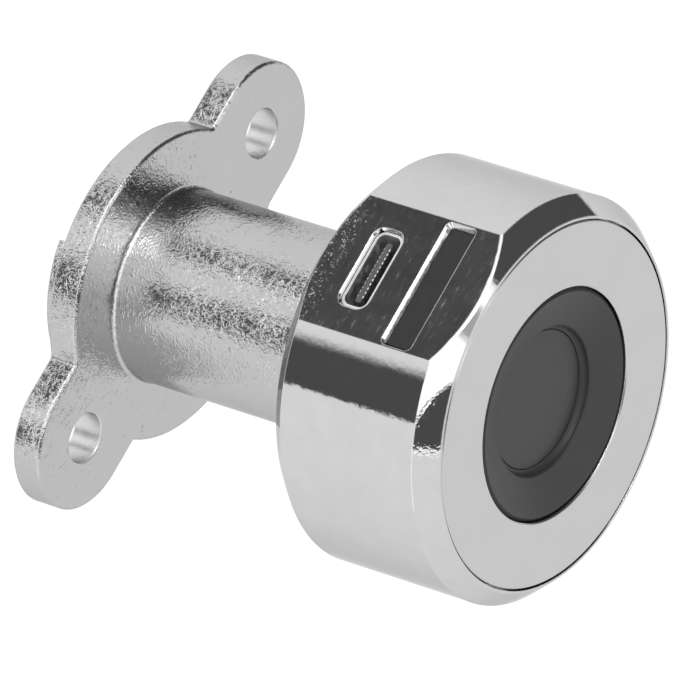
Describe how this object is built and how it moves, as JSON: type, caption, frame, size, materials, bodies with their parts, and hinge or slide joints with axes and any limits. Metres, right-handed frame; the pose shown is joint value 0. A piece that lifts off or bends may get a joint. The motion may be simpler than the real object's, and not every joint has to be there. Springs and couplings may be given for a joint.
{
  "type": "fingerprint cabinet lock",
  "caption": "Knob lock with a fingerprint sensor in its face and a charging port in its flat, on a barrel with an eared mounting plate and a cam behind it.",
  "frame": {"origin": "centre of the mounting plate's front face, on the barrel's axis", "axes": "-Y along the barrel towards the knob's face, +Z out of the knob's flat, X through the two screw holes"},
  "size_m": [0.052, 0.0559, 0.0406],
  "materials": {
    "nickel_plate": "nickel-plated die casting, satin with a fine grain",
    "bright_chrome": "polished chrome plating",
    "satin_ring": "fine satin",
    "guide_plastic": "soft matt black moulding",
    "sensor_face": "smooth black coating",
    "smoked_lens": "smoked, even gloss",
    "port_metal": "stamped, nickel-plated",
    "port_plastic": "black moulding",
    "circuit_board": "green lacquer",
    "light_plastic": "natural moulding",
    "lamp_body": "clear cap",
    "frame_plastic": "dark moulding",
    "cell_wrap": "shrink sleeve",
    "bronze": "turned bronze",
    "dark_spring_steel": "oil-blackened",
    "cover_metal": "grey plating",
    "zinc_steel": "bright zinc plating"
  },
  "bodies": {
    "mounting": {"mounting_body": "nickel_plate", "rear_bush": "bronze", "retaining_clip": "dark_spring_steel", "thrust_washer": "light_plastic"},
    "knob": {"knob_shell": "bright_chrome", "face_ring": "satin_ring", "finger_guide": "guide_plastic", "fingerprint_sensor": "sensor_face", "sensor_board": "circuit_board", "sensor_connector": "light_plastic", "port_shell": "port_metal", "port_tongue": "port_plastic", "port_board": "circuit_board", "indicator_window": "smoked_lens", "indicator_leds": "lamp_body", "main_board": "circuit_board", "inner_frame": "frame_plastic", "battery": "cell_wrap", "buzzer": "port_plastic", "clutch_motor": "zinc_steel", "knob_base": "cover_metal", "base_screws": "zinc_steel"},
    "spindle_and_cam": {"spindle": "zinc_steel", "cam": "zinc_steel", "cam_washer": "zinc_steel", "cam_screw": "zinc_steel"},
    "lead_screw": {"lead_screw": "bronze"},
    "clutch_slider": {"clutch_slider": "zinc_steel"}
  },
  "joints": [
    {"name": "knob_turn", "type": "hinge", "parent": "mounting", "child": "knob", "pos_m": [0, 0, 0], "axis": [0, -1, 0], "range_deg": [0, 180]},
    {"name": "spindle_turn", "type": "hinge", "parent": "mounting", "child": "spindle_and_cam", "pos_m": [0, 0, 0], "axis": [0, -1, 0], "range_deg": [0, 180]},
    {"name": "lead_screw_turn", "type": "hinge", "parent": "knob", "child": "lead_screw", "pos_m": [0, -0.03735, 0], "axis": [1, 0, 0], "range_deg": [0, 1080]},
    {"name": "clutch_slide", "type": "slide", "parent": "knob", "child": "clutch_slider", "axis": [1, 0, 0], "range_m": [0, 0.0015]}
  ],
  "couplings": [
    {"joint": "spindle_turn", "follows": "knob_turn", "ratio": 1},
    {"joint": "lead_screw_turn", "follows": "clutch_slide", "rad_per_m": 12566}
  ]
}
